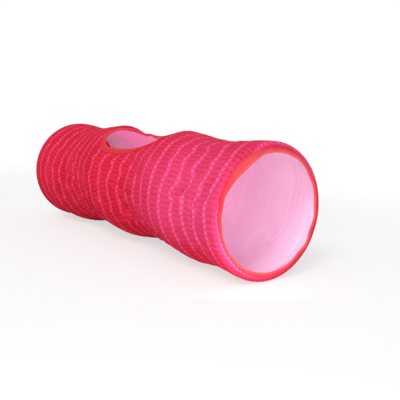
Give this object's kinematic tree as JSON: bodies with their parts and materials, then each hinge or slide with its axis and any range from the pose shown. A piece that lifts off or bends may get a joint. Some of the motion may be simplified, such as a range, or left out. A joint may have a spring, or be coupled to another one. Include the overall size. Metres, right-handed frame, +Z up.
{
  "type": "cat tunnel",
  "caption": "Pop-up fabric play tunnel for a cat, held open by a sprung wire spiral with a hoop at each end, with open mouths and a bound peephole in the top; it folds flat along its length.",
  "frame": {"origin": "on the floor, below the middle of the tunnel's length", "axes": "+X along the tunnel towards the front mouth, +Z up, +Y to the left when looking from the back mouth to the front"},
  "size_m": [0.788, 0.2478, 0.2479],
  "materials": {
    "cover_weave": "raspberry woven cloth with a fine check and paler dashed lines round the tunnel",
    "lining_nylon": "smooth light pink nylon, softly creased",
    "red_binding": "scarlet woven tape",
    "pink_tape": "matt woven tape",
    "spring_steel": "drawn spring wire",
    "crimped_aluminium": "pressed, satin"
  },
  "bodies": {
    "root": {"outer_cover": "cover_weave", "lining": "lining_nylon", "spring_wire": "spring_steel", "spiral_casing": "pink_tape", "seam_tape": "lining_nylon", "peephole_binding": "red_binding", "back_binding": "red_binding", "back_casing": "pink_tape", "back_ferrule": "crimped_aluminium"},
    "front_end": {"front_binding": "red_binding", "front_casing": "pink_tape", "front_ferrule": "crimped_aluminium"}
  },
  "joints": [
    {"name": "collapse", "type": "slide", "parent": "root", "child": "front_end", "axis": [-1, 0, 0], "range_m": [0, 0.734], "stiffness_N_per_m": 10, "deforming": ["outer_cover", "lining", "spring_wire", "spiral_casing", "seam_tape", "peephole_binding"]}
  ]
}
